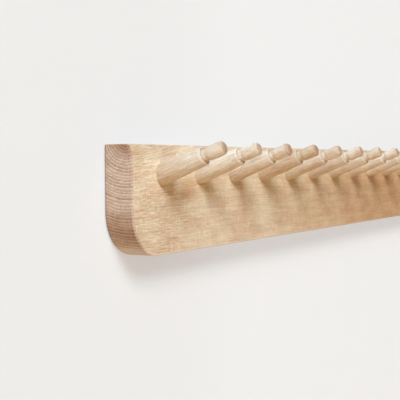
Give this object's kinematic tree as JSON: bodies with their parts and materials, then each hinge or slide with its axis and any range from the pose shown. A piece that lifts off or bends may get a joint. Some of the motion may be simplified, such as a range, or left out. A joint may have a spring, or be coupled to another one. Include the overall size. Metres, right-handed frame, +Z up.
{
  "type": "peg rail",
  "caption": "Straight oak wall rail with a row of slim turned pegs that tilt up for hanging coats and bags, on two keyhole plates hidden in its back.",
  "frame": {"origin": "middle of the back face, which lies on the wall", "axes": "+Y into the wall, the pegs point to -Y, +X to the right seen from the front, +Z up"},
  "size_m": [0.82, 0.0709, 0.0759],
  "materials": {
    "rail_oak": "planed oak with a matt clear oil",
    "peg_oak": "turned and sanded oak with a matt clear oil",
    "plate_steel": "pressed, zinc plated",
    "screw_steel": "zinc plated"
  },
  "bodies": {
    "root": {"rail": "rail_oak", "peg_01": "peg_oak", "peg_02": "peg_oak", "peg_03": "peg_oak", "peg_04": "peg_oak", "peg_05": "peg_oak", "peg_06": "peg_oak", "peg_07": "peg_oak", "peg_08": "peg_oak", "peg_09": "peg_oak", "peg_10": "peg_oak", "peg_11": "peg_oak", "peg_12": "peg_oak", "peg_13": "peg_oak", "peg_14": "peg_oak", "peg_15": "peg_oak", "peg_16": "peg_oak", "hanger_plate_left": "plate_steel", "hanger_plate_right": "plate_steel", "hanger_screws": "screw_steel"}
  },
  "joints": []
}
